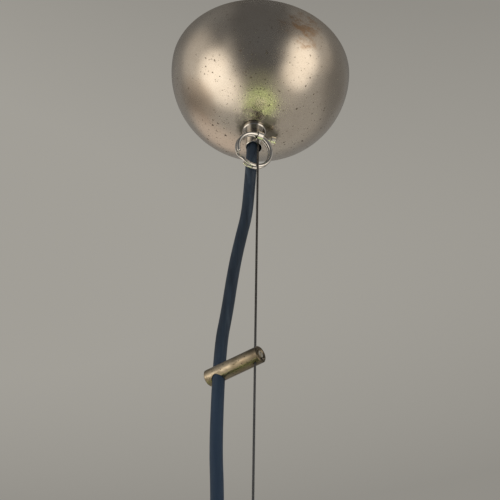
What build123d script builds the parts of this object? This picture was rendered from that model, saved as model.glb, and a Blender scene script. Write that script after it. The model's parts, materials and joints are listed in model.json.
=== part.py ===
from build123d import *
import math
import os

# Glass pendant light, in millimetres. The origin is on the ceiling in the middle of the bridge and +Z is up.
# The tube and collar lie on the Z axis, and the canopy hangs a little crooked on them. The lamp head hangs on
# the wire, a little beside that axis. What hangs is placed from the collar's upper face.

# Clearances, all radial or along the face they part
running_fit = 0.05
loose_fit = 0.3

# Canopy: half a ball of sheet metal, with the high side of its rim on the ceiling
canopy_radius = 57.5
canopy_wall = 1.2
canopy_tilt = 3.4

# Bridge: a bent strap that two ceiling screws hold by its slotted feet
bridge_thickness = 2.0
bridge_width = 22.0
bridge_drop = 30.0
bridge_leg_x = 26.0
bridge_foot_end = 46.0
bridge_bend = 3.0
slot_spacing = 70.0
slot_width = 5.0
slot_length = 10.0

# Threaded tube through the canopy, with a nut on each side of the bridge
tube_radius = 5.5
tube_bore = 4.75
tube_nut_flats = 14.0
tube_nut_height = 3.0
tube_stand_up = 0.5
tube_below_flange = 1.0

# Collar at the canopy's lowest point: a tapped boss inside the canopy, a flange under it and a long nose
boss_radius = 6.4
boss_height = 3.5
canopy_hole = boss_radius + loose_fit
flange_top_radius = 7.35
flange_height = 2.7
flange_chamfer = 0.6
nose_height = 14.4
nose_radius = 5.35
nose_bore = 4.6
mouth_flare = 0.2
mouth_flare_height = 4.5
mouth_edge = 0.25

# Eye on the front right of the collar's nose and the split ring that hangs in it
eye_turn = 25.0
eye_y = -7.75
eye_above_mouth = 2.5
eye_radius = 3.1
eye_width = 3.2
eye_bore = 2.25
ring_radius = 10.9
ring_wire = 0.85
ring_pitch = 2.15
ring_lean = 20.2
ring_x = -1.8
ring_step_at = 225.0

# Cord clamp screw in the side of the collar
clamp_angle = 16.0
clamp_shank = 1.5
clamp_head = 2.7
clamp_head_start = 10.7
clamp_head_end = 14.4
clamp_below_top = 6.35
clamp_hole = clamp_shank + running_fit

# Wire rope and flex cord
wire_radius = 0.68
wire_x = 2.55
wire_y = -2.45
wire_hole = wire_radius + 0.15
cord_radius = 3.5
cord_x = -0.9
cord_y = 0.3
core_radius = 1.0
core_half_spread = 1.3
cord_straight_at_gland = 8.0

# Stop plate and ferrule that carry the wire on the tube's upper end
stop_radius = 6.5
stop_thickness = 1.5
ferrule_radius = 1.7
ferrule_height = 8.0

# Terminal block on the bridge
block_depth = 11.0
block_length = 20.0
block_height = 18.0
block_x = -16.0
pole_y = 5.0
entry_below_top = 4.5
terminal_screw_radius = 1.6
terminal_screw_spacing = 5.6

# Cross-bar that holds the cord off the wire, and the grub screw that pins it to the wire
bar_angle = -36.5
bar_radius = 4.75
bar_drop = 191.65
bar_long_end = 31.2
bar_short_end = 3.9
bar_edge = 0.5
bar_wire_hole = wire_radius + loose_fit
bar_cord_offset = 24.3
bar_cord_hole = cord_radius + loose_fit
grub_radius = 2.0
grub_start = bar_wire_hole
grub_sink = 1.3
grub_end = 3.75

# Lamp head: cap, gripper and gland
cap_drop = 322.7
cap_radius = 36.0
cap_height = 40.0
cap_wall = 1.2
cap_edge = 6.0
flange_radius = 46.0
gripper_height = 22.0
gripper_radius = 5.0
gripper_shank = 3.95
gripper_shank_length = 13.0
gripper_nut_flats = 13.0
gripper_nut_height = 5.0
gland_offset = 22.0
gland_flats = 15.0
gland_height = 6.0
gland_nut_flats = 14.0
gland_nut_height = 10.0
gland_shank = 5.0
gland_shank_length = 10.0
gland_lock_height = 3.0
core_drop = 9.0
core_slant = 13.0

# Lamp head: bracket, shade and the plate that clamps it
bracket_thickness = 2.0
bracket_width = 18.0
bracket_leg_x = 26.0
bracket_foot_end = 14.0
bracket_screw_x = 20.0
bracket_screw_radius = 2.0
bracket_screw_head = 3.8
bracket_screw_head_height = 2.4
gasket_thickness = 1.2
shade_hole = 30.0
shade_radius = 190.0
shade_depth = 128.0
glass_wall = 3.5
plate_radius = 42.0
plate_thickness = 2.0

# Lamp head: nipple, lampholder and bulb
nipple_radius = 5.0
nipple_bore = 3.9
nipple_above = 4.4
nipple_below = 10.0
holder_radius = 19.5
holder_cap_height = 20.0
holder_bore = 14.6
holder_spigot = 16.7
holder_length = 54.0
insert_top = 14.0
insert_height = 10.0
shell_wall = 0.7
shell_length = 18.0
contact_radius = 4.0
contact_height = 3.0
bulb_cap_radius = 13.2
bulb_cap_wall = 0.6
bulb_cap_length = 20.0
bulb_neck = 12.3
bulb_radius = 22.5
bulb_wall = 0.8
bulb_length = 75.0

# Heights and places that follow from the sizes above
tilt_sine = math.sin(math.radians(canopy_tilt))
tilt_cosine = math.cos(math.radians(canopy_tilt))
canopy_centre = (canopy_radius * tilt_sine, 0, -canopy_radius * tilt_sine)
hole_depth = math.sqrt(canopy_radius**2 - canopy_hole**2)
collar_top = canopy_centre[2] - hole_depth * tilt_cosine - canopy_hole * tilt_sine
bridge_top = bridge_thickness - bridge_drop
tube_top = bridge_top + tube_nut_height + tube_stand_up
tube_bottom = collar_top - tube_below_flange
stop_top = tube_top + stop_thickness
flange_bottom = collar_top - flange_height
nose_bottom = flange_bottom - nose_height
eye_z = nose_bottom + eye_above_mouth
cord_split_z = tube_bottom - 0.25
clamp_z = collar_top - clamp_below_top
bar_z = collar_top - bar_drop
cap_top = collar_top - cap_drop
bar_dir = Vector(math.cos(math.radians(bar_angle)), math.sin(math.radians(bar_angle)), 0)
wire_place = Vector(wire_x, wire_y, 0)
gland_place = wire_place - bar_dir * gland_offset
cap_bottom = cap_top - cap_height
glass_top = cap_bottom - gasket_thickness
glass_seat = glass_top - glass_wall
plate_top = glass_seat - gasket_thickness
holder_top = plate_top - plate_thickness
insert_bottom = holder_top - insert_top - insert_height
bulb_top = insert_bottom - contact_height
bulb_shell_top = bulb_top - 6.0
wire_top = stop_top + ferrule_height - 0.5
wire_bottom = cap_top - 8.7

on_base = (Align.CENTER, Align.CENTER, Align.MIN)
head = Pos(wire_x, wire_y, 0)


def bar(radius, top, bottom):
    """A round bar on the Z axis between two heights."""
    return Pos(0, 0, bottom) * Cylinder(radius, top - bottom, align=on_base)


def pipe(outer, inner, top, bottom):
    """A round tube on the Z axis between two heights."""
    return bar(outer, top, bottom) - bar(inner, top, bottom)


def turned(points):
    """A lathe-turned solid about the Z axis, from its outline as (radius, height) points."""
    return revolve(Plane.XZ * make_face(Polyline(*points, close=True)), Axis.Z)


def spun_sheet(line, wall):
    """A sheet of even thickness about the Z axis, from its middle line in radius and height."""
    return revolve(Plane.XZ * trace(line, wall), Axis.Z)


def bent_strap(points, bend, thickness, width):
    """A strap bent along its middle line in the XZ plane."""
    return extrude(Plane.XZ * trace(FilletPolyline(*points, radius=bend), thickness), width / 2, both=True)


def hex_nut(flats, bore, top, bottom):
    """A hexagon nut on the Z axis with its corners chamfered at both faces."""
    corner = flats / math.sqrt(3)
    drop = (corner - flats / 2) * math.tan(math.radians(30))
    hexagon = Pos(0, 0, bottom) * extrude(RegularPolygon(corner, 6), top - bottom)
    outline = [(bore, bottom), (flats / 2, bottom), (corner, bottom + drop)]
    outline += [(corner, top - drop), (flats / 2, top), (bore, top)]
    return hexagon & turned(outline)


def slotted_screw(shank, length, head_radius, head_height):
    """A screw along +Z: its shank starts at the origin, and its slotted head is on the far end."""
    edge = min(0.4, shank / 3)
    end = length + head_height
    outline = [(0, 0), (shank - edge, 0), (shank, edge), (shank, length), (head_radius, length)]
    outline += [(head_radius, end - 2 * edge), (head_radius - 2 * edge, end), (0, end)]
    depth = 0.35 * head_height
    slot = Pos(0, 0, end - depth) * Box(3 * head_radius, 0.3 * head_radius, 2 * depth, align=on_base)
    return turned(outline) - slot


def corner_radii(points):
    """The radius of each bend: 0.45 of its shorter run over the tangent of half its turn."""
    radii = []
    for before, at, after in zip(points, points[1:], points[2:]):
        run_in = Vector(*at) - Vector(*before)
        run_out = Vector(*after) - Vector(*at)
        half_turn = math.radians(run_in.get_angle(run_out)) / 2
        radii.append(0.45 * min(run_in.length, run_out.length) / math.tan(half_turn))
    return radii


def flex(name, points, radius):
    """A round flex along straight runs with a tangent arc at each bend."""
    radii = corner_radii(points)
    path = FilletPolyline(*points, radius=radii)
    solid = sweep(Plane(path @ 0, z_dir=path % 0) * Circle(radius), path=path)
    share = solid.volume / (math.pi * radius**2 * path.length)
    print(name, "least bend radius", round(min(radii), 1), "volume share", round(share, 4))
    return solid


def biarc(start, start_dir, end, end_dir):
    """Two arcs that leave one point and reach another with the given directions."""
    chord = end - start
    a = 2 * (start_dir.dot(end_dir) - 1)
    b = -2 * chord.dot(start_dir + end_dir)
    c = chord.dot(chord)
    reach = (-b - math.sqrt(b * b - 4 * a * c)) / (2 * a)
    middle = (start + start_dir * reach + end - end_dir * reach) / 2
    first = TangentArc(start, middle, tangent=start_dir)
    second = TangentArc(middle, end, tangent=first % 1)
    return [first, second]


def make_canopy():
    """Half a ball of sheet with a hole for the tube at its pole, tilted about its middle."""
    inner = canopy_radius - canopy_wall
    ball = Sphere(canopy_radius) - Sphere(inner)
    lower = (Align.CENTER, Align.CENTER, Align.MAX)
    shell = ball & Box(3 * canopy_radius, 3 * canopy_radius, 2 * canopy_radius, align=lower)
    shell -= bar(canopy_hole, 0, -2 * canopy_radius)
    return Pos(*canopy_centre) * Rot(0, canopy_tilt, 0) * shell


def make_bridge():
    """The ceiling strap: slotted feet, two legs and a plate with holes for the tube and the block's screw."""
    half = bridge_thickness / 2
    low = half - bridge_drop
    points = [(-bridge_foot_end, -half), (-bridge_leg_x, -half), (-bridge_leg_x, low)]
    points += [(bridge_leg_x, low), (bridge_leg_x, -half), (bridge_foot_end, -half)]
    strap = bent_strap(points, bridge_bend, bridge_thickness, bridge_width)
    slot = Pos(0, 0, -bridge_thickness) * extrude(SlotOverall(slot_length, slot_width), bridge_thickness)
    strap -= Pos(slot_spacing / 2, 0, 0) * slot
    strap -= Pos(-slot_spacing / 2, 0, 0) * slot
    strap -= bar(tube_radius + running_fit, bridge_top, -bridge_drop)
    return strap - Pos(block_x, 0, 0) * bar(1.7, bridge_top, -bridge_drop)


def make_tube_nuts():
    """The two nuts that grip the bridge."""
    bore = tube_radius + running_fit
    upper = hex_nut(tube_nut_flats, bore, bridge_top + tube_nut_height, bridge_top)
    lower = hex_nut(tube_nut_flats, bore, -bridge_drop, -bridge_drop - tube_nut_height)
    return [upper, lower]


def make_stop_plate():
    """The washer on the tube's end, with a small hole for the wire and a larger one for the cores."""
    plate = bar(stop_radius, stop_top, tube_top)
    plate -= Pos(wire_x, wire_y, 0) * bar(wire_hole, stop_top, tube_top)
    core_hole = core_half_spread + core_radius + loose_fit
    return plate - Pos(cord_x, cord_y, 0) * bar(core_hole, stop_top, tube_top)


def make_ferrule():
    """The crimped sleeve that stops the wire above the plate."""
    sleeve = pipe(ferrule_radius, wire_radius + running_fit, stop_top + ferrule_height, stop_top)
    waist = Pos(0, 0, stop_top + ferrule_height / 2) * Torus(ferrule_radius + 0.9, 1.2)
    return head * (sleeve - waist)


def make_terminal_block():
    """A two-pole block with an entry bore and two screw wells for each pole."""
    top = bridge_top + block_height
    base = Pos(block_x, 0, bridge_top) * Box(block_depth, block_length, block_height, align=on_base)
    block = fillet(base.edges().filter_by(Axis.Z), 1.5)
    block = chamfer(block.faces().sort_by(Axis.Z)[-1].edges(), 0.6)
    entry = Rot(0, 90, 0) * Cylinder(core_radius + loose_fit, 2 * block_depth)
    for side in (-pole_y, pole_y):
        block -= Pos(block_x, side, top - entry_below_top) * entry
        for reach in (-terminal_screw_spacing / 2, terminal_screw_spacing / 2):
            well = bar(terminal_screw_radius + running_fit, top, top - entry_below_top)
            block -= Pos(block_x + reach, side, 0) * well
    block -= Pos(block_x, 0, top) * Box(2 * block_depth, 1.6, 8)
    return block - Pos(block_x, 0, 0) * bar(clamp_hole, bridge_top + 7, bridge_top)


def make_terminal_screws():
    """Four slotted screws down in their wells, with their ends on the cores."""
    core_top = bridge_top + block_height - entry_below_top + core_radius
    screw = slotted_screw(terminal_screw_radius - 0.3, 1.0, terminal_screw_radius, 1.6)
    places = []
    for side in (-pole_y, pole_y):
        for reach in (-terminal_screw_spacing / 2, terminal_screw_spacing / 2):
            places.append(Pos(block_x + reach, side, core_top + running_fit))
    return [place * screw for place in places]


def make_block_screw():
    """The screw from under the bridge that holds the terminal block."""
    screw = slotted_screw(clamp_shank, bridge_thickness + 6, 2.8, 1.8)
    return Pos(block_x, 0, bridge_top + 6) * Rot(180, 0, 0) * screw


def make_core_end(side):
    """A core from the sheath's end up through the stop plate and over into its pole."""
    entry_z = bridge_top + block_height - entry_below_top
    start = (cord_x, cord_y + side * core_half_spread)
    points = [(*start, tube_top - 0.2), (*start, entry_z)]
    points += [(block_x + 6.5, side * pole_y, entry_z), (block_x - 1.5, side * pole_y, entry_z)]
    return flex("core end", points, core_radius)


def make_collar():
    """The turned collar with its tapped boss, flange, cord bore, side hole and eye."""
    bore = tube_radius + running_fit
    boss_top = collar_top + boss_height
    outline = [(bore, boss_top), (boss_radius, boss_top), (boss_radius, collar_top)]
    outline += [(flange_top_radius, collar_top), (flange_top_radius, flange_bottom + flange_chamfer)]
    outline += [(flange_top_radius - flange_chamfer, flange_bottom), (nose_radius, flange_bottom)]
    outline += [(nose_radius, nose_bottom + mouth_edge), (nose_radius - mouth_edge, nose_bottom)]
    outline += [(nose_bore + mouth_flare, nose_bottom), (nose_bore, nose_bottom + mouth_flare_height)]
    outline += [(nose_bore, tube_bottom - loose_fit), (bore, tube_bottom - loose_fit)]
    collar = turned(outline)
    reach = -eye_y - nose_bore
    at_eye = Rot(0, 0, eye_turn) * Pos(0, eye_y, eye_z)
    eye = at_eye * Rot(0, 90, 0) * Cylinder(eye_radius, eye_width)
    eye += at_eye * Pos(0, reach / 2, 0) * Box(eye_width, reach, 2 * eye_radius)
    collar += eye - bar(nose_bore + 0.2, flange_bottom, nose_bottom - eye_radius)
    collar -= at_eye * Rot(0, 90, 0) * Cylinder(eye_bore, 2 * eye_width)
    side = Pos(0, 0, clamp_z) * Rot(0, 0, clamp_angle) * Rot(0, 90, 0)
    return collar - side * Cylinder(clamp_hole, clamp_head_start, align=on_base)


def make_clamp_screw():
    """The side screw, with its tip just clear of the cord."""
    angle = math.radians(clamp_angle)
    along = cord_x * math.cos(angle) + cord_y * math.sin(angle)
    tip = along + cord_radius + running_fit
    screw = slotted_screw(clamp_shank, clamp_head_start - tip, clamp_head, clamp_head_end - clamp_head_start)
    return Pos(0, 0, clamp_z) * Rot(0, 0, clamp_angle) * Rot(0, 90, 0) * Pos(0, 0, tip) * screw


def make_ring():
    """The split ring: two flat turns of one wire with a step between them, hung in the eye."""
    lean = math.radians(ring_lean)
    up = Vector(0, -math.sin(lean), math.cos(lean))
    across = Vector(1, 0, 0)
    axis = across.cross(up)
    centre = Vector(ring_x, eye_y, eye_z) - up * ring_radius

    def spot(angle, level):
        turn = math.radians(angle + ring_step_at)
        out = across * math.cos(turn) + up * math.sin(turn)
        along = up * math.cos(turn) - across * math.sin(turn)
        return centre + out * ring_radius + axis * level, along

    first_level = [(angle, -ring_pitch / 2) for angle in (20, 90, 180, 270, 345)]
    second_level = [(angle, ring_pitch / 2) for angle in (375, 450, 540, 630, 700)]
    stations = [spot(*station) for station in first_level + second_level]
    edges = []
    for (start, start_dir), (end, end_dir) in zip(stations, stations[1:]):
        edges += biarc(start, start_dir, end, end_dir)
    path = Wire(edges)
    ring = sweep(Plane(path @ 0, z_dir=path % 0) * Circle(ring_wire), path=path)

    samples = [path @ (i / 400) for i in range(401)]
    apart = int(400 * 0.15)
    pairs = ((a, b) for i, a in enumerate(samples) for b in samples[i + apart:])
    gap = min((a - b).length for a, b in pairs) - 2 * ring_wire
    share = ring.volume / (math.pi * ring_wire**2 * path.length)
    print("ring least gap to itself", round(gap, 3), "volume share", round(share, 4))
    return Rot(0, 0, eye_turn) * ring


def along_bar(solid, start):
    """Turn a solid built along +Z into the cross-bar's direction, measured from the wire."""
    return Pos(wire_x, wire_y, bar_z) * Rot(0, 0, bar_angle) * Rot(0, 90, 0) * Pos(0, 0, start) * solid


def make_cross_bar():
    """A brass rod with a small hole for the wire, a large one for the cord and a tapped end."""
    length = bar_long_end + bar_short_end
    rod = Cylinder(bar_radius, length, align=on_base)
    rod = chamfer(rod.edges(), bar_edge)
    rod = along_bar(rod, -bar_long_end)
    rod -= along_bar(Cylinder(grub_radius + running_fit, bar_short_end, align=on_base), 0)
    sink = Cone(grub_radius, grub_radius + grub_sink, grub_sink, align=on_base)
    rod -= along_bar(sink, bar_short_end - grub_sink)
    rod -= head * bar(bar_wire_hole, bar_z + 2 * bar_radius, bar_z - 2 * bar_radius)
    hole = wire_place - bar_dir * bar_cord_offset
    return rod - Pos(hole.X, hole.Y, 0) * bar(bar_cord_hole, bar_z + 2 * bar_radius, bar_z - 2 * bar_radius)


def make_grub_screw():
    """A short slotted screw in the end of the bar, with its point on the wire."""
    length = grub_end - grub_start
    outline = [(0, 0), (0.5, 0), (grub_radius, 1.2), (grub_radius, length), (0, length)]
    slot = Pos(0, 0, length) * Box(3 * grub_radius, 0.7, 1.6)
    return along_bar(turned(outline) - slot, grub_start)


def make_cord():
    """The free stretch of flex: out of the collar, behind the ring, through the bar and down to the gland."""
    hole = wire_place - bar_dir * bar_cord_offset
    gland_top = cap_top + gland_height + gland_nut_height
    points = [(cord_x, cord_y, cord_split_z), (cord_x, cord_y, nose_bottom - 5.0)]
    points += [(-2.45, 14.0, nose_bottom - 26.0), (-3.55, 13.8, nose_bottom - 46.0)]
    points += [(-6.4, 13.3, collar_top - 81.3), (-9.35, 12.9, collar_top - 101.7)]
    points += [(-11.55, 12.6, collar_top - 122.7), (-13.45, 12.4, collar_top - 144.7)]
    points += [(hole.X + 0.3, hole.Y, collar_top - 171.5), (hole.X - 0.3, hole.Y, collar_top - 238.7)]
    points += [(gland_place.X - 0.3, gland_place.Y + 0.3, collar_top - 272.7)]
    points += [(gland_place.X, gland_place.Y, gland_top + cord_straight_at_gland)]
    points += [(gland_place.X, gland_place.Y, cap_top - gland_shank_length)]
    return flex("flex cord", points, cord_radius)


def make_gripper():
    """The turned gripper that the wire's lower end is clamped in, with a threaded shank."""
    bore = wire_radius + running_fit
    top = cap_top + gripper_height
    low = cap_top - gripper_shank_length
    outline = [(bore, top), (2.2, top), (gripper_radius, top - 5), (gripper_radius, cap_top)]
    outline += [(gripper_shank, cap_top), (gripper_shank, low), (0, low)]
    outline += [(0, wire_bottom - running_fit), (bore, wire_bottom - running_fit)]
    return head * turned(outline)


def make_gland_body():
    """The gland's hexagon and its threaded shank through the cap."""
    bore = cord_radius + loose_fit
    body = hex_nut(gland_flats, bore, cap_top + gland_height, cap_top)
    body += pipe(gland_shank, bore, cap_top, cap_top - gland_shank_length)
    return Pos(gland_place) * body


def make_gland_nut():
    """The nut that squeezes the cord: a hexagon below a dome."""
    bore = cord_radius + loose_fit
    low = cap_top + gland_height
    top = low + gland_nut_height
    corner = gland_nut_flats / math.sqrt(3)
    hexagon = Pos(0, 0, low) * extrude(RegularPolygon(corner, 6), gland_nut_height)
    outline = [(bore, low), (corner - 0.4, low), (corner, low + 0.4), (corner, low + 4.5)]
    outline += [(gland_nut_flats / 2 - 0.8, top - 2.5), (bore + 0.8, top), (bore, top)]
    return Pos(gland_place) * (hexagon & turned(outline))


def make_cap():
    """The spun head cap: a cup with an out-turned flange and holes for gripper and gland."""
    half = cap_wall / 2
    line = FilletPolyline(
        (gripper_shank + loose_fit, cap_top - half),
        (cap_radius - half, cap_top - half),
        (cap_radius - half, cap_bottom + half),
        (flange_radius, cap_bottom + half),
        radius=[cap_edge, 2.5],
    )
    cap = spun_sheet(line, cap_wall)
    hole = gland_place - wire_place
    cap -= Pos(hole.X, hole.Y, 0) * bar(gland_shank + running_fit, cap_top, cap_top - cap_wall)
    return head * cap


def make_bracket():
    """The bent bracket inside the cap: hung from the gripper's nut, with two tapped feet."""
    half = bracket_thickness / 2
    high = cap_top - cap_wall - half
    low = plate_top + half
    points = [(-bracket_foot_end, low), (-bracket_leg_x, low), (-bracket_leg_x, high)]
    points += [(bracket_leg_x, high), (bracket_leg_x, low), (bracket_foot_end, low)]
    bracket = bent_strap(points, 3, bracket_thickness, bracket_width)
    bracket -= bar(gripper_shank + loose_fit, high + half, high - half)
    for side in (-bracket_screw_x, bracket_screw_x):
        bracket -= Pos(side, 0, 0) * bar(bracket_screw_radius + running_fit, low + half, low - half)
    return head * Rot(0, 0, bar_angle + 90) * bracket


def make_bracket_screws():
    """The two screws from below that draw the clamp plate up to the bracket's feet."""
    shank = plate_thickness + bracket_thickness + 1
    screw = slotted_screw(bracket_screw_radius, shank, bracket_screw_head, bracket_screw_head_height)
    screw = Pos(0, 0, plate_top + bracket_thickness + 1) * Rot(180, 0, 0) * screw
    turn = head * Rot(0, 0, bar_angle + 90)
    return [turn * Pos(side, 0, 0) * screw for side in (-bracket_screw_x, bracket_screw_x)]


def make_plate():
    """The round plate under the glass."""
    plate = pipe(plate_radius, nipple_radius + running_fit, plate_top, holder_top)
    plate = fillet(plate.edges().filter_by(GeomType.CIRCLE).sort_by(SortBy.RADIUS)[-2:], 0.6)
    for side in (-bracket_screw_x, bracket_screw_x):
        hole = bar(bracket_screw_radius + loose_fit, plate_top, holder_top)
        plate -= Rot(0, 0, bar_angle + 90) * Pos(side, 0, 0) * hole
    return head * plate


def make_shade():
    """The glass dome: a flat seat round the hole and one broad arc down to a rounded rim."""
    middle = glass_top - glass_wall / 2
    reach = shade_radius - flange_radius
    bow = (reach**2 + shade_depth**2) / (2 * shade_depth)
    sweep_angle = math.degrees(math.asin(reach / bow))
    seat = Line((shade_hole, middle), (flange_radius, middle))
    dome = JernArc(start=(flange_radius, middle), tangent=(1, 0), radius=bow, arc_size=-sweep_angle)
    shade = spun_sheet(seat + dome, glass_wall)
    rim = shade.edges().filter_by(GeomType.CIRCLE).sort_by(Axis.Z)[:2]
    return head * fillet(rim, 0.45 * glass_wall)


def make_holder_cap():
    """The lampholder's upper half with its threaded boss on the nipple."""
    top = holder_top
    bore = nipple_radius + running_fit
    inner = holder_spigot + loose_fit
    outline = [(bore, top), (11, top), (holder_radius - 1.2, top - 6), (holder_radius, top - 10)]
    outline += [(holder_radius, top - holder_cap_height), (inner, top - holder_cap_height)]
    outline += [(inner, top - 10), (9, top - 6), (9, top - 9), (bore, top - 9)]
    return head * turned(outline)


def make_holder_skirt():
    """The lampholder's lower half: a spigot up into the cap and a plain skirt round the bulb's cap."""
    joint = holder_top - holder_cap_height
    spigot_top = holder_top - insert_top
    low = holder_top - holder_length
    outline = [(holder_bore, spigot_top), (holder_spigot, spigot_top), (holder_spigot, joint)]
    outline += [(holder_radius, joint), (holder_radius, low + 2)]
    outline += [(holder_radius - 1, low), (holder_bore, low)]
    return head * turned(outline)


def make_bulb_glass():
    """A closed round bulb with a neck that goes up into its cap."""
    centre = bulb_top - bulb_length + bulb_radius
    top = bulb_shell_top - 8
    ball = bulb_radius - bulb_wall
    neck = bulb_neck - bulb_wall
    shoulder = centre + math.sqrt(bulb_radius**2 - bulb_neck**2)
    inner_shoulder = centre + math.sqrt(ball**2 - neck**2)
    outline = [
        ThreePointArc((0, centre - bulb_radius), (bulb_radius, centre), (bulb_neck, shoulder)),
        Polyline((bulb_neck, shoulder), (bulb_neck, top), (neck, top), (neck, inner_shoulder)),
        ThreePointArc((neck, inner_shoulder), (ball, centre), (0, centre - ball)),
        Line((0, centre - ball), (0, centre - bulb_radius)),
    ]
    return head * revolve(Plane.XZ * make_face(outline), Axis.Z)


def make_bulb_cap():
    """The bulb's thin metal cap, open below where the glass goes in."""
    inner = bulb_cap_radius - bulb_cap_wall
    top = bulb_shell_top
    low = top - bulb_cap_length
    outline = [(0, top), (10.5, top), (bulb_cap_radius, top - 2.5), (bulb_cap_radius, low), (inner, low)]
    outline += [(inner, top - 3), (10.2, top - bulb_cap_wall), (0, top - bulb_cap_wall)]
    return head * turned(outline)


def make_bulb_insulator():
    """The dark cone between the bulb's cap and its contact."""
    low = bulb_shell_top
    return head * turned([(0, low), (10, low), (5.5, bulb_top - 1.5), (0, bulb_top - 1.5)])


def make_head_core(side):
    """A core from the gland across to the nipple and down to the contact insert."""
    aside = bar_dir.rotate(Axis.Z, 90) * (side * core_half_spread)
    start = gland_place + aside
    end = wire_place + aside
    high = cap_top - gland_shank_length
    points = [(start.X, start.Y, high - 0.2), (start.X, start.Y, high - core_drop)]
    points += [(end.X, end.Y, high - core_drop - core_slant), (end.X, end.Y, holder_top - insert_top)]
    return flex("head core", points, core_radius)


cord_tail = Pos(cord_x, cord_y, 0) * bar(cord_radius, tube_top - 0.2, cord_split_z)
nipple_bore_fit = nipple_radius + running_fit
shell_outer = holder_bore - loose_fit
shell_bottom = insert_bottom - shell_length
lock_top = cap_top - cap_wall
nut_top = lock_top - bracket_thickness

pieces = {
    "canopy": make_canopy(),
    "bridge": make_bridge(),
    "threaded_tube": pipe(tube_radius, tube_bore, tube_top, tube_bottom),
    "tube_nuts": make_tube_nuts(),
    "stop_plate": make_stop_plate(),
    "wire_ferrule": make_ferrule(),
    "terminal_block": make_terminal_block(),
    "terminal_screws": make_terminal_screws(),
    "block_screw": make_block_screw(),
    "cord_tail": cord_tail,
    "core_end_brown": make_core_end(1),
    "core_end_blue": make_core_end(-1),
    "collar": make_collar(),
    "clamp_screw": make_clamp_screw(),
    "split_ring": make_ring(),
    "wire_rope": head * bar(wire_radius, wire_top, wire_bottom),
    "flex_cord": make_cord(),
    "cross_bar": make_cross_bar(),
    "grub_screw": make_grub_screw(),
    "wire_gripper": make_gripper(),
    "gripper_nut": head * hex_nut(
        gripper_nut_flats, gripper_shank + running_fit, nut_top, nut_top - gripper_nut_height
    ),
    "gland_body": make_gland_body(),
    "gland_nut": make_gland_nut(),
    "gland_lock_nut": Pos(gland_place) * hex_nut(
        tube_nut_flats, gland_shank + running_fit, lock_top, lock_top - gland_lock_height
    ),
    "head_cap": make_cap(),
    "hanger_bracket": make_bracket(),
    "bracket_screws": make_bracket_screws(),
    "upper_gasket": head * pipe(flange_radius, shade_hole, cap_bottom, glass_top),
    "glass_shade": make_shade(),
    "lower_gasket": head * pipe(plate_radius, shade_hole, glass_seat, plate_top),
    "clamp_plate": make_plate(),
    "nipple": head * pipe(nipple_radius, nipple_bore, plate_top + nipple_above, holder_top - nipple_below),
    "nipple_nut": head * hex_nut(tube_nut_flats, nipple_bore_fit, plate_top + tube_nut_height, plate_top),
    "head_core_brown": make_head_core(1),
    "head_core_blue": make_head_core(-1),
    "holder_cap": make_holder_cap(),
    "holder_skirt": make_holder_skirt(),
    "contact_insert": head * bar(shell_outer, holder_top - insert_top, insert_bottom),
    "thread_shell": head * pipe(shell_outer, shell_outer - shell_wall, insert_bottom, shell_bottom),
    "centre_contact": head * bar(contact_radius, insert_bottom, bulb_top),
    "bulb_contact": head * bar(contact_radius + 0.5, bulb_top, bulb_top - 1.5),
    "bulb_insulator": make_bulb_insulator(),
    "bulb_cap": make_bulb_cap(),
    "bulb_glass": make_bulb_glass(),
}

os.makedirs("parts", exist_ok=True)
for node, solid in pieces.items():
    shape = Compound(children=solid) if isinstance(solid, list) else solid
    export_step(shape, "parts/" + node + ".step")
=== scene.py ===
import json
import math

import bmesh
import bpy
import numpy as np
from mathutils import Matrix, Vector


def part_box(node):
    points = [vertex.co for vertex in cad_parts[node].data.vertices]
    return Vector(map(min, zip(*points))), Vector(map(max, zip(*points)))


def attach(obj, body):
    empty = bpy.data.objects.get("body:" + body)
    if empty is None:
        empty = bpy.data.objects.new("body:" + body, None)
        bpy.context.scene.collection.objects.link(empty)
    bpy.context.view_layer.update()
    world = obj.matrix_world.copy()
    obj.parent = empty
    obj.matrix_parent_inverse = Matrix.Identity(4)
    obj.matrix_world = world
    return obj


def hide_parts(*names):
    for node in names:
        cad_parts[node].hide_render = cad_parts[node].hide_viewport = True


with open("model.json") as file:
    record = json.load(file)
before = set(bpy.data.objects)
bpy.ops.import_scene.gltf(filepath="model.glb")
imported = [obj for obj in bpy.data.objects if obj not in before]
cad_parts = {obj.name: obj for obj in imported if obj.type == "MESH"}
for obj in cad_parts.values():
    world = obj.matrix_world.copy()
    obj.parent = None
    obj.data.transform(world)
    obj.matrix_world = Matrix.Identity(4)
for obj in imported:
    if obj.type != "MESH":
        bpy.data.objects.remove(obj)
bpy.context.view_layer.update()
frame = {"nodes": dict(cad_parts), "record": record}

# Glass pendant light, seen from below. Lengths are in metres, or in millimetres where a name ends in mm.
MM = 0.001
scene = bpy.context.scene

# Heights and places that the CAD model gives
BOSS_HEIGHT_MM = 3.5
NOSE_DROP_MM = 17.1
collar_top_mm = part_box("collar")[1].z / MM - BOSS_HEIGHT_MM
nose_bottom_mm = collar_top_mm - NOSE_DROP_MM
cap_top_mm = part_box("head_cap")[1].z / MM
holder_top_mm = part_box("holder_cap")[1].z / MM
tube_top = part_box("threaded_tube")[1].z
tube_top_mm = tube_top / MM
wire_low, wire_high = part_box("wire_rope")
wire_x_mm = (wire_low.x + wire_high.x) / 2 / MM
wire_y_mm = (wire_low.y + wire_high.y) / 2 / MM
bar_low, bar_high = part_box("cross_bar")
bar_z_mm = (bar_low.z + bar_high.z) / 2 / MM
bar_radius_mm = (bar_high.z - bar_low.z) / 2 / MM

# The cross-bar's turn about the wire, and how far its flex hole and the lamp head's gland are from the wire
BAR_TURN = math.radians(-36.5)
HOLE_FROM_WIRE_MM = 24.3
GLAND_FROM_WIRE_MM = 22.0
bar_x, bar_y = math.cos(BAR_TURN), math.sin(BAR_TURN)
bar_reach_mm = (bar_high.x / MM - wire_x_mm + bar_radius_mm * bar_y) / bar_x


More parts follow.
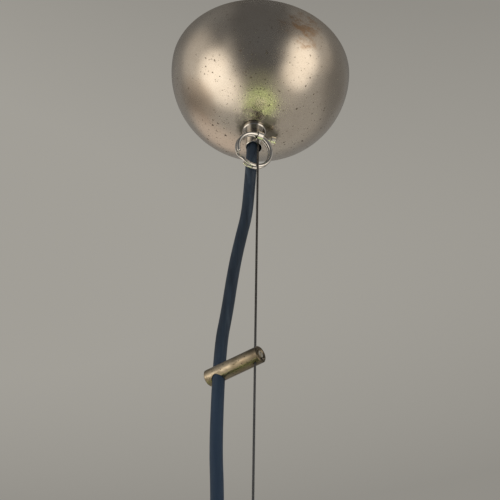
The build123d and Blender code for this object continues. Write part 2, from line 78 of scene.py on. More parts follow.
def along_bar_mm(reach_mm):
    """A place in plan, measured from the wire along the cross-bar."""
    return wire_x_mm + reach_mm * bar_x, wire_y_mm + reach_mm * bar_y


hole_mm = along_bar_mm(-HOLE_FROM_WIRE_MM)
gland_mm = along_bar_mm(-GLAND_FROM_WIRE_MM)
bar_end_mm = (*along_bar_mm(bar_reach_mm), bar_z_mm)

# The middle of the side screw's knob
CLAMP_TURN = math.radians(16.0)
KNOB_HALF_MM = 1.8
screw_low, screw_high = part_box("clamp_screw")
knob_x_mm = screw_high.x / MM - KNOB_HALF_MM
knob_y_mm = knob_x_mm * math.tan(CLAMP_TURN)
knob_mm = (knob_x_mm, knob_y_mm, (screw_low.z + screw_high.z) / 2 / MM)


def metres(point_mm):
    """A point in millimetres as a vector in metres."""
    return Vector(point_mm) * MM


# Camera: below and in front of the canopy, looking up at it
CAMERA_PLACE_MM = (-1.2, -640.5, -826.35)
CAMERA_ELEVATION = math.radians(45.78)
CAMERA_ROLL = math.radians(1.05)
LENS_MM = 115.2
SENSOR_MM = 36.0
CLIP_START = 0.01


def make_camera():
    forward = Vector((0, math.cos(CAMERA_ELEVATION), math.sin(CAMERA_ELEVATION)))
    level = forward.cross(Vector((0, 0, 1))).normalized()
    upright = level.cross(forward)
    right = level * math.cos(CAMERA_ROLL) + upright * math.sin(CAMERA_ROLL)
    up = upright * math.cos(CAMERA_ROLL) - level * math.sin(CAMERA_ROLL)
    data = bpy.data.cameras.new("camera")
    data.lens = LENS_MM
    data.sensor_width = SENSOR_MM
    data.clip_start = CLIP_START
    camera = bpy.data.objects.new("camera", data)
    scene.collection.objects.link(camera)
    turn = Matrix((right, up, -forward)).transposed().to_4x4()
    camera.matrix_world = Matrix.Translation(metres(CAMERA_PLACE_MM)) @ turn
    scene.camera = camera


make_camera()


class Graph:
    """Short calls that add the nodes of one shader."""

    def __init__(self, tree, coordinates):
        self.tree = tree
        self.place = tree.nodes.new("ShaderNodeTexCoord").outputs[coordinates]

    def add(self, kind, inputs=None, **settings):
        """A new node, with its settings made before its inputs are fed."""
        node = self.tree.nodes.new(kind)
        for key, value in settings.items():
            setattr(node, key, value)
        for key, value in (inputs or {}).items():
            self.feed(node.inputs[key], value)
        return node

    def feed(self, socket, value):
        """Link a socket to the output of another node, or set it to a constant."""
        if isinstance(value, bpy.types.NodeSocket):
            self.tree.links.new(value, socket)
        else:
            socket.default_value = value

    def axis(self, letter):
        """The coordinates along one axis."""
        return self.add("ShaderNodeSeparateXYZ", {"Vector": self.place}).outputs[letter]

    def span(self, value, low, high, to_low=0.0, to_high=1.0):
        """A value mapped from one range to another, and held at its ends."""
        inputs = {"Value": value, "From Min": low, "From Max": high, "To Min": to_low, "To Max": to_high}
        return self.add("ShaderNodeMapRange", inputs, interpolation_type="SMOOTHSTEP").outputs["Result"]

    def sums(self, operation, first, second=0.0):
        return self.add("ShaderNodeMath", {0: first, 1: second}, operation=operation).outputs[0]

    def plus(self, first, second):
        return self.sums("ADD", first, second)

    def minus(self, first, second):
        return self.sums("SUBTRACT", first, second)

    def times(self, first, second):
        return self.sums("MULTIPLY", first, second)

    def most(self, *values):
        """The largest of several values."""
        largest = values[0]
        for value in values[1:]:
            largest = self.sums("MAXIMUM", largest, value)
        return largest

    def mix(self, share, first, second):
        """A colour that goes from the first to the second as the share goes from 0 to 1."""
        node = self.add("ShaderNodeMix", data_type="RGBA")
        self.feed(node.inputs["Factor"], share)
        for socket, value in ((node.inputs[6], first), (node.inputs[7], second)):
            self.feed(socket, value if isinstance(value, bpy.types.NodeSocket) else (*value, 1))
        return node.outputs[2]


class Finish(Graph):
    """A procedural material on one principled shader."""

    def __init__(self, name, **constants):
        self.material = bpy.data.materials.new(name)
        self.material.use_nodes = True
        super().__init__(self.material.node_tree, "Object")
        self.shader = self.tree.nodes["Principled BSDF"]
        for key, value in constants.items():
            self.shader.inputs[key.replace("_", " ")].default_value = value

    def turned(self, rotation=(0, 0, 0), scale=(1, 1, 1)):
        """The object's coordinates, scaled along its axes and then turned."""
        inputs = {"Vector": self.place, "Rotation": rotation, "Scale": scale}
        return self.add("ShaderNodeMapping", inputs).outputs["Vector"]

    def swayed(self, scale, sway_mm):
        """The object's coordinates, pushed about a little by fine noise."""
        noise = self.add("ShaderNodeTexNoise", {"Vector": self.place, "Scale": scale, "Detail": 2.0})
        push = {0: noise.outputs["Color"], "Scale": sway_mm * MM}
        pushed = self.add("ShaderNodeVectorMath", push, operation="SCALE").outputs["Vector"]
        return self.add("ShaderNodeVectorMath", {0: self.place, 1: pushed}, operation="ADD").outputs["Vector"]

    def noise(self, scale, detail=3.0, rough=0.55, vector=None, distortion=0.0):
        """Soft random values: scale is how many lumps a metre has, detail how many finer layers they have."""
        inputs = {"Vector": vector or self.place, "Scale": scale, "Detail": detail}
        inputs["Roughness"] = rough
        inputs["Distortion"] = distortion
        return self.add("ShaderNodeTexNoise", inputs).outputs["Fac"]

    def ramp(self, value, stops):
        """Colours along a value, from (position, (r, g, b)) pairs."""
        node = self.add("ShaderNodeValToRGB", {"Fac": value})
        elements = node.color_ramp.elements
        while len(elements) < len(stops):
            elements.new(0.5)
        for element, (position, colour) in zip(elements, stops):
            element.position = position
            element.color = (*colour, 1)
        return node.outputs["Color"]

    def specks(self, scale, size, share, vector=None):
        """Small round spots: size is their radius as a part of a cell, share how many cells have one."""
        smallest = 0.35 * size
        edge = 0.25 * size
        cell = self.add("ShaderNodeTexVoronoi", {"Vector": vector or self.place, "Scale": scale})
        chance = self.add("ShaderNodeSeparateColor", {"Color": cell.outputs["Color"]})
        radius = self.span(chance.outputs["Red"], 0, 1, smallest, size)
        spot = self.span(self.minus(radius, cell.outputs["Distance"]), -edge, edge)
        kept = self.sums("LESS_THAN", chance.outputs["Green"], share)
        return self.times(spot, kept)

    def near(self, point_mm, inner_mm, outer_mm, ragged=None, ragged_share=0.3):
        """One at a place on the object, falling to nothing away from it. Noise can make its edge ragged."""
        ends = {0: self.place, 1: metres(point_mm)}
        reach = self.add("ShaderNodeVectorMath", ends, operation="DISTANCE").outputs["Value"]
        if ragged is not None:
            sway = ragged_share * outer_mm * MM
            reach = self.plus(reach, self.span(ragged, 0.3, 0.7, -sway, sway))
        return self.span(reach, inner_mm * MM, outer_mm * MM, 1, 0)

    def colour(self, socket):
        self.feed(self.shader.inputs["Base Color"], socket)

    def roughness(self, socket):
        self.feed(self.shader.inputs["Roughness"], socket)

    def bump(self, height, depth_mm, strength=1.0):
        inputs = {"Height": height, "Strength": strength, "Distance": depth_mm * MM}
        self.feed(self.shader.inputs["Normal"], self.add("ShaderNodeBump", inputs).outputs["Normal"])


def satin_nickel():
    """Old satin plate: lathe marks, brown tarnish, a painted dark reflection and shade round the collar, a
    painted shadow by the side screw, and pits of three sizes.
    """
    look = Finish("satin_nickel", Metallic=1.0, IOR=1.45)
    broad = look.noise(22, 4, 0.6)
    tones = [(0.3, (0.60, 0.535, 0.46)), (0.5, (0.665, 0.605, 0.535)), (0.72, (0.70, 0.655, 0.59))]
    tone = look.ramp(broad, tones)

    # Tarnish: a blotchy stain high on the right and a faint one low on the left
    tarnish_brown = (0.40, 0.245, 0.135)
    blotch = look.span(look.noise(230, 4, 0.7, look.turned(scale=(0.5, 0.5, 1))), 0.42, 0.6, 0.2, 1)
    stain = look.times(look.near((29, -49, -20.5), 4, 16, look.noise(110, 4, 0.7)), blotch)
    lower = look.near((-38, -6, -44), 4, 22, broad)
    tarnish = look.most(look.times(stain, 0.85), look.times(lower, 0.3))
    tone = look.mix(tarnish, tone, tarnish_brown)

    # Painted shade: the collar's dark reflection and shade painted round the collar, the side screw's shadow
    # painted beside it, and less of it on a painted brighter place in front
    painted_shade_black = (0.075, 0.074, 0.055)
    by_screw = (knob_mm[0] - 2, knob_mm[1] + 0.5, collar_top_mm + 1.5)
    grime_and_shade = look.near((1.5, -2.0, collar_top_mm), 7.5, 16, look.noise(130, 4, 0.6), 0.2)
    collar_shade_ring = look.near((0.5, -0.5, collar_top_mm), 8.5, 12.5, look.noise(200, 3, 0.6), 0.1)
    screw_shadow = look.near(by_screw, 2.5, 7, look.noise(200, 3, 0.6), 0.15)
    painted_bright_patch = look.near((0.5, -9.5, collar_top_mm + 1), 4.5, 8, look.noise(170, 3, 0.6), 0.1)
    dirt_and_shade = look.most(look.times(grime_and_shade, 0.62), look.times(collar_shade_ring, 0.86), look.times(screw_shadow, 0.8))
    dirt_and_shade = look.times(dirt_and_shade, look.span(painted_bright_patch, 0, 1, 1, 0.45))
    tone = look.mix(dirt_and_shade, tone, painted_shade_black)

    # Grain: soft brown clouds and a fine speckle
    cloud_brown = (0.47, 0.41, 0.34)
    speckle_brown = (0.44, 0.39, 0.33)
    tone = look.mix(look.span(look.noise(160, 5, 0.65), 0.5, 0.8, 0, 0.25), tone, cloud_brown)
    tone = look.mix(look.span(look.noise(1300, 2, 0.5), 0.45, 0.75, 0, 0.3), tone, speckle_brown)

    # Pits: in crowds, and fainter towards the ceiling
    pit_brown = (0.11, 0.08, 0.055)
    deep_z, faint_z = -0.062, -0.012
    low = look.span(look.axis("Z"), deep_z, faint_z, 1.0, 0.3)
    crowd = look.times(look.span(look.noise(38, 3, 0.6), 0.37, 0.53), low)
    ragged = look.swayed(1100, 1.6)
    large = look.specks(250, 0.21, 0.62, ragged)
    middle = look.times(look.specks(400, 0.22, 0.6, ragged), 0.9)
    small = look.times(look.specks(640, 0.24, 0.65, ragged), 0.75)
    pits = look.times(look.most(large, small, middle), crowd)
    look.colour(look.mix(look.times(pits, 0.88), tone, pit_brown))

    rough = look.span(look.noise(60, 4, 0.6), 0.3, 0.7, 0.22, 0.27)
    rough = look.plus(rough, look.times(pits, 0.3))
    look.roughness(look.plus(rough, look.times(look.most(tarnish, dirt_and_shade), 0.12)))
    lathe_marks = look.noise(900, 2, 0.5, look.turned(scale=(0.02, 0.02, 3.0)))
    look.bump(look.minus(look.times(lathe_marks, 0.12), pits), 0.03, 0.2)
    return look.material


def bright_chrome():
    """Worn chrome plate with hairlines and grime, a painted dark reflection on the collar's walls, and a
    painted highlight on the two screws, which are also matt.
    """
    wall_reflection_grey = (0.24, 0.225, 0.21)
    screw_highlight_cream = (0.96, 0.92, 0.80)
    grime_brown = (0.23, 0.19, 0.15)
    look = Finish("bright_chrome", Metallic=1.0)
    tone = look.ramp(look.noise(90, 3), [(0.3, (0.66, 0.64, 0.61)), (0.7, (0.78, 0.76, 0.73))])
    # Painted dark reflection: the collar's walls are darkened towards grey
    walls = look.near((0, 0, collar_top_mm - 4), 6.6, 8.6)
    tone = look.mix(look.times(walls, 0.5), tone, wall_reflection_grey)
    # Painted highlight on the side screw's knob and the grub screw, which are also made rougher
    screws = look.most(look.near(knob_mm, 2.8, 4.2), look.near(bar_end_mm, 4, 6))
    tone = look.mix(look.times(screws, 0.8), tone, screw_highlight_cream)
    grime_and_shade = look.span(look.noise(260, 5, 0.7), 0.5, 0.75)
    look.colour(look.mix(look.times(grime_and_shade, 0.6), tone, grime_brown))
    rough = look.plus(look.times(grime_and_shade, 0.22), 0.085)
    look.roughness(look.plus(look.times(screws, 0.25), rough))
    look.bump(look.noise(1500, 3, 0.6, look.turned(scale=(1, 1, 0.2))), 0.01, 0.2)
    return look.material


def aged_brass():
    """A brass rod: drawn-out scratches and oxide, a coppery tint, a painted highlight by the flex hole, a
    painted light band in front, and painted shade on the underside and the end.
    """
    copper_tone = (0.47, 0.32, 0.22)
    hole_highlight_tone = (0.72, 0.63, 0.49)
    painted_band_tone = (0.70, 0.61, 0.47)
    underside_shade_tone = (0.145, 0.125, 0.088)
    end_shade_tone = (0.12, 0.10, 0.075)
    oxide_tone = (0.12, 0.095, 0.06)
    dot_tone = (0.06, 0.045, 0.03)
    look = Finish("aged_brass", Metallic=1.0)
    patches = look.noise(420, 5, 0.65, look.turned(rotation=(0, 0, -BAR_TURN), scale=(0.1, 1, 1)))
    tones = [(0.32, (0.33, 0.275, 0.19)), (0.55, (0.41, 0.35, 0.25)), (0.75, (0.48, 0.42, 0.32))]
    tone = look.ramp(look.noise(120, 3), tones)
    copper = look.span(look.noise(75, 3, 0.6), 0.52, 0.66)
    tone = look.mix(look.times(copper, 0.45), tone, copper_tone)
    # Painted highlight near the flex hole, with less oxide there
    by_hole = (hole_mm[0] + 1, hole_mm[1] - 4, bar_z_mm - 2)
    painted_bright_patch = look.near(by_hole, 4, 13, look.noise(160, 4), 0.2)
    tone = look.mix(look.times(painted_bright_patch, 0.6), tone, hole_highlight_tone)

    # Painted light and shade in bands by how far a place lies below the rod's axis: a lit band in front and
    # shade underneath
    drop = look.minus(bar_z_mm * MM, look.axis("Z"))
    drop = look.plus(drop, look.span(patches, 0.3, 0.7, -0.4 * MM, 0.4 * MM))
    front = look.times(look.span(drop, 0.5 * MM, 1.4 * MM), look.span(drop, 2.0 * MM, 2.6 * MM, 1, 0))
    tone = look.mix(look.times(front, 0.4), tone, painted_band_tone)
    underside_shade = look.span(drop, 2.2 * MM, 3.4 * MM)
    tone = look.mix(look.times(underside_shade, 0.72), tone, underside_shade_tone)

    # Painted shade on the rod's end face
    end = look.near(bar_end_mm, bar_radius_mm, 2 * bar_radius_mm, patches, 0.1)
    tone = look.mix(look.times(end, 0.7), tone, end_shade_tone)
    oxide = look.times(look.span(patches, 0.5, 0.7), look.span(painted_bright_patch, 0, 1, 1, 0.45))
    tone = look.mix(look.times(oxide, 0.75), tone, oxide_tone)
    dots = look.specks(700, 0.3, 0.4)
    look.colour(look.mix(look.times(dots, 0.7), tone, dot_tone))
    rough = look.span(look.noise(300, 4), 0.3, 0.7, 0.27, 0.38)
    look.roughness(look.plus(look.times(oxide, 0.22), rough))
    scratches = look.noise(1800, 3, 0.6, look.turned(rotation=(0, 0, -BAR_TURN), scale=(0.03, 1, 1)))
    look.bump(look.minus(scratches, look.times(dots, 0.6)), 0.04, 0.45)
    return look.material


def black_flex():
    """A navy-black sheath, bluer lower down, with a faint grain and dusty streaks along it."""
    lower_blue = (0.024, 0.046, 0.088)
    dust_grey = (0.10, 0.10, 0.095)
    look = Finish("black_flex", IOR=1.5, Specular_IOR_Level=0.22)
    streak = look.noise(420, 4, 0.6, look.turned(scale=(1, 1, 0.06)))
    tones = [(0.3, (0.015, 0.022, 0.034)), (0.55, (0.024, 0.036, 0.056)), (0.8, (0.048, 0.068, 0.092))]
    tone = look.ramp(streak, tones)
    lower = look.span(look.axis("Z"), (bar_z_mm - 30) * MM, (bar_z_mm + 40) * MM, 0.6, 0)
    tone = look.mix(lower, tone, lower_blue)
    dust = look.span(look.noise(800, 3, 0.7), 0.62, 0.8, 0, 0.25)
    look.colour(look.mix(dust, tone, dust_grey))
    look.roughness(look.span(look.noise(150, 4), 0.3, 0.7, 0.42, 0.56))
    look.bump(look.noise(2600, 3, 0.6, look.turned(scale=(1, 1, 0.35))), 0.03, 0.3)
    return look.material


def wire_steel():
    """Grey steel strands with dull oxide between bright rubs, lighter and cooler lower down."""
    oxide_brown = (0.13, 0.10, 0.085)
    lower_grey = (0.235, 0.248, 0.268)
    look = Finish("wire_steel", Metallic=0.9)
    tones = [(0.3, (0.08, 0.075, 0.07)), (0.6, (0.18, 0.172, 0.162)), (0.8, (0.33, 0.32, 0.305))]
    tone = look.ramp(look.noise(700, 4, 0.65), tones)
    tone = look.mix(look.span(look.noise(60, 3), 0.5, 0.75, 0, 0.4), tone, oxide_brown)
    lower = look.span(look.axis("Z"), (bar_z_mm - 15) * MM, (bar_z_mm + 60) * MM, 0.7, 0)
    look.colour(look.mix(lower, tone, lower_grey))
    look.roughness(look.span(look.noise(500, 3), 0.3, 0.7, 0.32, 0.5))
    look.bump(look.noise(4000, 2), 0.01, 0.2)
    return look.material


def green_glass():
    """Thick milky green glass, with soft swirls from the furnace and a few seeds."""
    seed_green = (0.80, 0.90, 0.62)
    look = Finish("green_glass", IOR=1.5, Transmission_Weight=0.48, Coat_Weight=0.6, Coat_Roughness=0.03)
    swirl = look.noise(14, 4, 0.55, look.turned(scale=(1, 1, 0.5)), 1.2)
    tones = [(0.3, (0.58, 0.74, 0.33)), (0.55, (0.70, 0.83, 0.43)), (0.75, (0.80, 0.89, 0.55))]
    seeds = look.specks(90, 0.06, 0.25)
    look.colour(look.mix(look.times(seeds, 0.5), look.ramp(swirl, tones), seed_green))
    look.roughness(look.span(look.noise(30, 3), 0.3, 0.7, 0.08, 0.15))
    look.bump(look.plus(look.noise(18, 2, 0.5), look.times(seeds, 0.2)), 0.6, 0.12)
    return look.material


def opal_glass():
    """The bulb's white glass, a little uneven and dusty."""
    dust_grey = (0.55, 0.52, 0.46)
    look = Finish("opal_glass", IOR=1.5, Transmission_Weight=0.15, Coat_Weight=0.3, Coat_Roughness=0.05)
    tone = look.ramp(look.noise(60, 4, 0.6), [(0.3, (0.80, 0.78, 0.72)), (0.7, (0.89, 0.88, 0.84))])
    dust = look.span(look.noise(420, 4, 0.7), 0.58, 0.8, 0, 0.3)
    look.colour(look.mix(dust, tone, dust_grey))
    look.roughness(look.span(look.noise(80, 3), 0.3, 0.7, 0.12, 0.22))
    look.bump(look.noise(70, 2), 0.05, 0.15)
    return look.material


def plated_metal(name, dark, light, grime_and_shade, rough, mottle):
    """Metal with a soft mottle, uneven polish and spots of grime."""
    look = Finish(name, Metallic=1.0)
    tone = look.ramp(look.noise(mottle, 4, 0.6), [(0.3, dark), (0.7, light)])
    dirt_and_shade = look.span(look.noise(3.1 * mottle, 5, 0.7), 0.52, 0.78)
    look.colour(look.mix(look.times(dirt_and_shade, 0.55), tone, grime_and_shade))
    worn = look.span(look.noise(2 * mottle, 3), 0.3, 0.7, rough, rough + 0.1)
    look.roughness(look.plus(look.times(dirt_and_shade, 0.2), worn))
    look.bump(look.noise(12 * mottle, 3, 0.6), 0.015, 0.25)
    return look.material


def moulded(name, dark, light, rough, grain):
    """A moulded or fired surface with a slight mottle, dark specks, fine grain and uneven gloss."""
    look = Finish(name, IOR=1.5)
    tone = look.ramp(look.noise(90, 4, 0.6), [(0.3, dark), (0.7, light)])
    spots = look.specks(900, 0.22, 0.3)
    look.colour(look.mix(look.times(spots, 0.35), tone, tuple(0.5 * part for part in dark)))
    look.roughness(look.span(look.noise(130, 4), 0.3, 0.7, rough - 0.05, rough + 0.08))
    look.bump(look.noise(grain, 3, 0.6), 0.02, 0.25)
    return look.material


# Slot, dark tone, light tone, grime, roughness and scale of the mottle
PLATED = (
    ("zinc_steel", (0.43, 0.44, 0.45), (0.60, 0.60, 0.58), (0.22, 0.19, 0.15), 0.33, 130),
    ("soft_aluminium", (0.60, 0.60, 0.61), (0.74, 0.74, 0.73), (0.36, 0.35, 0.33), 0.28, 170),
    ("bright_brass", (0.62, 0.45, 0.17), (0.76, 0.58, 0.26), (0.28, 0.19, 0.09), 0.22, 190),
)
# Slot, dark tone, light tone, roughness and scale of the grain
MOULDED = (
    ("pale_plastic", (0.60, 0.57, 0.48), (0.72, 0.69, 0.60), 0.42, 1400),
    ("black_plastic", (0.014, 0.014, 0.016), (0.026, 0.026, 0.028), 0.36, 1700),
    ("gasket_rubber", (0.020, 0.019, 0.018), (0.040, 0.038, 0.036), 0.72, 900),
    ("white_ceramic", (0.74, 0.72, 0.66), (0.84, 0.82, 0.77), 0.16, 500),
    ("brown_core", (0.095, 0.038, 0.018), (0.16, 0.070, 0.034), 0.40, 1500),
    ("blue_core", (0.012, 0.050, 0.19), (0.022, 0.085, 0.30), 0.40, 1500),
)
finishes = {
    "satin_nickel": satin_nickel(),
    "bright_chrome": bright_chrome(),
    "aged_brass": aged_brass(),
    "black_flex": black_flex(),
    "wire_steel": wire_steel(),
    "green_glass": green_glass(),
    "opal_glass": opal_glass(),
}
finishes.update({row[0]: plated_metal(*row) for row in PLATED})
finishes.update({row[0]: moulded(*row) for row in MOULDED})

# Each CAD node takes the finish of its slot
slot_of = {row["node"]: row["material_slot"] for row in frame["record"]["subparts"]}
for name, node in frame["nodes"].items():
    finish = finishes[slot_of[name]]
    if not node.data.materials:
        node.data.materials.append(finish)
    for index in range(len(node.data.materials)):
        node.data.materials[index] = finish


def show(piece, body, slot, *replaced):
    """Give a new piece its finish, its body and the CAD nodes that it stands for."""
    piece.data.materials.clear()
    piece.data.materials.append(finishes[slot])
    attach(piece, body)
    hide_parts(*replaced)
    return piece


def route_curve(name, points_mm, radius, sides=8, steps=24):
    """A smooth round curve with the route's points as its control points. No radius leaves a bare line."""
    curve = bpy.data.curves.new(name, "CURVE")
    curve.dimensions = "3D"
    curve.resolution_u = steps
    curve.bevel_depth = radius
    curve.bevel_resolution = sides
    curve.use_fill_caps = radius > 0
    spline = curve.splines.new("NURBS")
    spline.points.add(len(points_mm) - 1)
    for point, place_mm in zip(spline.points, points_mm):
        point.co = (*metres(place_mm), 1)
    spline.order_u = 3
    spline.use_endpoint_u = True
    piece = bpy.data.objects.new(name, curve)
    scene.collection.objects.link(piece)
    return piece


def route_line(points_mm):
    """The points of a route's smooth line, in order."""
    bare = route_curve("bare_line", points_mm, 0)
    bpy.context.view_layer.update()
    mesh = bpy.data.meshes.new_from_object(bare.evaluated_get(bpy.context.evaluated_depsgraph_get()))
    line = np.array([vertex.co for vertex in mesh.vertices])
    bpy.data.meshes.remove(mesh)
    bpy.data.objects.remove(bare)
    return line


def steps_of(line):
    """The distances from each point of a line to the next."""
    return np.linalg.norm(np.diff(line, axis=0), axis=1)


def spread(line, count):
    """Points at even distances along a line."""
    reach = np.concatenate([[0], np.cumsum(steps_of(line))])
    at = np.linspace(0, reach[-1], count)
    return np.stack([np.interp(at, reach, values) for values in line.T], axis=1)


# Two steps round each end of a tube: the share of its radius, and how many radii they stand out
END_STEPS = ((0.9, 0.2), (0.55, 0.32))


def tube_faces(mesh, points, radius, sides, start_normal, flatten=1.0):
    """Add a closed round tube along the points to a bmesh, with small rounded ends."""
    tangents = np.gradient(points, axis=0)
    tangents /= np.linalg.norm(tangents, axis=1)[:, None]
    normal = np.array(start_normal, float)
    rings = []
    last = len(points) - 1
    stations = [(0, share, -out) for share, out in reversed(END_STEPS)]
    stations += [(index, 1.0, 0.0) for index in range(len(points))]
    stations += [(last, share, out) for share, out in END_STEPS]
    for index, share, out in stations:
        tangent = tangents[index]
        normal = normal - tangent * normal.dot(tangent)
        normal /= np.linalg.norm(normal)
        across = np.cross(tangent, normal)
        centre = points[index] + tangent * out * radius
        ring = []
        for side in range(sides):
            angle = 2 * math.pi * side / sides
            offset = normal * math.cos(angle) * flatten + across * math.sin(angle)
            ring.append(mesh.verts.new(centre + offset * radius * share))
        rings.append(ring)
    for one, two in zip(rings, rings[1:]):
        for side in range(sides):
            after = (side + 1) % sides
            mesh.faces.new((one[side], one[after], two[after], two[side]))
    mesh.faces.new(rings[0][::-1])
    mesh.faces.new(rings[-1])


def mesh_piece(name, mesh):
    """A smooth object from a bmesh, which is used up."""
    bmesh.ops.recalc_face_normals(mesh, faces=mesh.faces)
    data = bpy.data.meshes.new(name)
    mesh.to_mesh(data)
    mesh.free()
    for face in data.polygons:
        face.use_smooth = True
    piece = bpy.data.objects.new(name, data)
    scene.collection.objects.link(piece)
    return piece


# Flex from the collar down to the lamp head: the points of the CAD route
CORD_DIAMETER = 0.007
CORD_X_MM, CORD_Y_MM = -0.9, 0.3
CORD_TOP_DROP_MM = 1.25
GLAND_STRAIGHT_MM = 24.0
GLAND_SHANK_MM = 10.0
cord_top_mm = collar_top_mm - CORD_TOP_DROP_MM
gland_end_mm = cap_top_mm - GLAND_SHANK_MM
cord_points_mm = [
    (CORD_X_MM, CORD_Y_MM, cord_top_mm),
    (CORD_X_MM, CORD_Y_MM, nose_bottom_mm - 5.0),
    (-2.45, 14.0, nose_bottom_mm - 26.0),
    (-3.55, 13.8, nose_bottom_mm - 46.0),
    (-6.4, 13.3, collar_top_mm - 81.3),
    (-9.35, 12.9, collar_top_mm - 101.7),
    (-11.55, 12.6, collar_top_mm - 122.7),
    (-13.45, 12.4, collar_top_mm - 144.7),
    (hole_mm[0] + 0.3, hole_mm[1], collar_top_mm - 171.5),
    (hole_mm[0] - 0.3, hole_mm[1], collar_top_mm - 238.7),
    (gland_mm[0] - 0.3, gland_mm[1] + 0.3, collar_top_mm - 272.7),
    (*gland_mm, cap_top_mm + GLAND_STRAIGHT_MM),
    (*gland_mm, gland_end_mm),
]
flex_length = float(steps_of(route_line(cord_points_mm)).sum())
flex = show(route_curve("flex", cord_points_mm, CORD_DIAMETER / 2), "pendant", "black_flex", "flex_cord")

# Wire rope: six strands laid round a core strand, so that it is three strands wide
STRANDS = 6
STRAND_SIDES = 8
CORE_STATIONS = 40
STATIONS_PER_LAY = 12
LAY_LENGTH = 0.0095
ROPE_END_MM = 7.0
rope_diameter = wire_high.x - wire_low.x
strand_radius = rope_diameter / 6
rope_top_mm = wire_high.z / MM
rope_low_mm = wire_low.z / MM
rope_points_mm = [
    (wire_x_mm, wire_y_mm, rope_top_mm),
    (wire_x_mm, wire_y_mm, rope_top_mm - ROPE_END_MM),
    (wire_x_mm, wire_y_mm, rope_low_mm + ROPE_END_MM),
    (wire_x_mm, wire_y_mm, rope_low_mm),
]
rope_path = route_line(rope_points_mm)
rope_length = float(steps_of(rope_path).sum())
rope_stations = spread(rope_path, int(rope_length / LAY_LENGTH * STATIONS_PER_LAY))
twist = np.linspace(0, 2 * math.pi * rope_length / LAY_LENGTH, len(rope_stations))
rope_mesh = bmesh.new()
tube_faces(rope_mesh, spread(rope_path, CORE_STATIONS), strand_radius, STRAND_SIDES, (1, 0, 0))
for strand in range(STRANDS):
    angle = twist + strand * 2 * math.pi / STRANDS
    aside = np.stack([np.cos(angle), np.sin(angle), np.zeros_like(angle)], axis=1)
    tube_faces(rope_mesh, rope_stations + aside * 2 * strand_radius, strand_radius, STRAND_SIDES, (1, 0, 0))
rope = show(mesh_piece("rope", rope_mesh), "pendant", "wire_steel", "wire_rope")

# Sheath inside the tube, cut off just below the tube's upper end
SHEATH_CUT_MM = 0.2
TAIL_MIDDLE_MM = 12.0
sheath_top_mm = tube_top_mm - SHEATH_CUT_MM
tail_points_mm = [
    (CORD_X_MM, CORD_Y_MM, sheath_top_mm),
    (CORD_X_MM, CORD_Y_MM, tube_top_mm - TAIL_MIDDLE_MM),
    (CORD_X_MM, CORD_Y_MM, cord_top_mm),
]
show(route_curve("flex_tail", tail_points_mm, CORD_DIAMETER / 2), "pendant", "black_flex", "cord_tail")

# Two cores from the sheath's end up to the terminal block, and two from the gland down to the lampholder
CORE_RADIUS = 0.001
CORE_SPREAD_MM = 1.3
ENTRY_Z_MM = -14.5
POLE_Y_MM = 5.0
TURN_X_MM = -9.5
CORE_TIP_X_MM = -17.5
CORE_DROP_MM = 9.0
CORE_SLANT_END_MM = 22.0
INSERT_DROP_MM = 14.0
for side, colour in ((1, "brown"), (-1, "blue")):
    start_y_mm = CORD_Y_MM + side * CORE_SPREAD_MM
    end_points_mm = [
        (CORD_X_MM, start_y_mm, sheath_top_mm),
        (CORD_X_MM, start_y_mm, ENTRY_Z_MM),
        (TURN_X_MM, side * POLE_Y_MM, ENTRY_Z_MM),
        (CORE_TIP_X_MM, side * POLE_Y_MM, ENTRY_Z_MM),
    ]
    end = route_curve("core_end_" + colour + "_run", end_points_mm, CORE_RADIUS, sides=5, steps=16)
    show(end, "pendant", colour + "_core", "core_end_" + colour)
    aside = (-bar_y * side * CORE_SPREAD_MM, bar_x * side * CORE_SPREAD_MM)
    below_gland = (gland_mm[0] + aside[0], gland_mm[1] + aside[1])
    below_wire = (wire_x_mm + aside[0], wire_y_mm + aside[1])
    head_points_mm = [
        (*below_gland, gland_end_mm - SHEATH_CUT_MM),
        (*below_gland, gland_end_mm - CORE_DROP_MM),
        (*below_wire, gland_end_mm - CORE_SLANT_END_MM),
        (*below_wire, holder_top_mm - INSERT_DROP_MM),
    ]
    run = route_curve("head_core_" + colour + "_run", head_points_mm, CORE_RADIUS, sides=5, steps=16)
    show(run, "pendant", colour + "_core", "head_core_" + colour)

# Split ring: two turns of one wire with a step between them, hung in the collar's eye
RING_RADIUS_MM = 10.9
RING_HALF_WIDE = 0.00115
RING_HALF_DEEP = 0.00085
RING_PITCH_MM = 2.15
RING_SPLAY_MM = 0.9
RING_X_MM = -1.8
RING_LEAN = math.radians(20.2)
RING_STATIONS = 300
RING_SIDES = 16
EYE_Y_MM = -7.75
EYE_ABOVE_MOUTH_MM = 2.5
EYE_TURN = math.radians(25.0)
# Degrees along the wire: its two ends, and where the step starts and how long it is
WIRE_START, WIRE_END = 20, 700
STEP_START, STEP_LENGTH = 345, 30
# Degrees round the ring at which that count starts
STEP_SIDE = 225.0
ring_eye_mm = np.array([RING_X_MM, EYE_Y_MM, nose_bottom_mm + EYE_ABOVE_MOUTH_MM])
ring_up = np.array([0, -math.sin(RING_LEAN), math.cos(RING_LEAN)])
ring_across = np.array([1.0, 0, 0])
ring_axis = np.cross(ring_across, ring_up)
ring_points_mm = []
for angle in np.linspace(WIRE_START, WIRE_END, RING_STATIONS):
    rise = np.clip((angle - STEP_START) / STEP_LENGTH, 0, 1)
    front = rise * rise * (3 - 2 * rise)
    turn = math.radians(angle + STEP_SIDE)
    level_mm = RING_PITCH_MM * (front - 0.5) + RING_SPLAY_MM * front * (1 - math.sin(turn)) / 2
    out = ring_across * math.cos(turn) + ring_up * math.sin(turn)
    ring_points_mm.append(ring_eye_mm + (out - ring_up) * RING_RADIUS_MM + ring_axis * level_mm)
ring_turn = np.array(Matrix.Rotation(EYE_TURN, 3, "Z"))
ring_path = np.array(ring_points_mm) @ ring_turn.T * MM
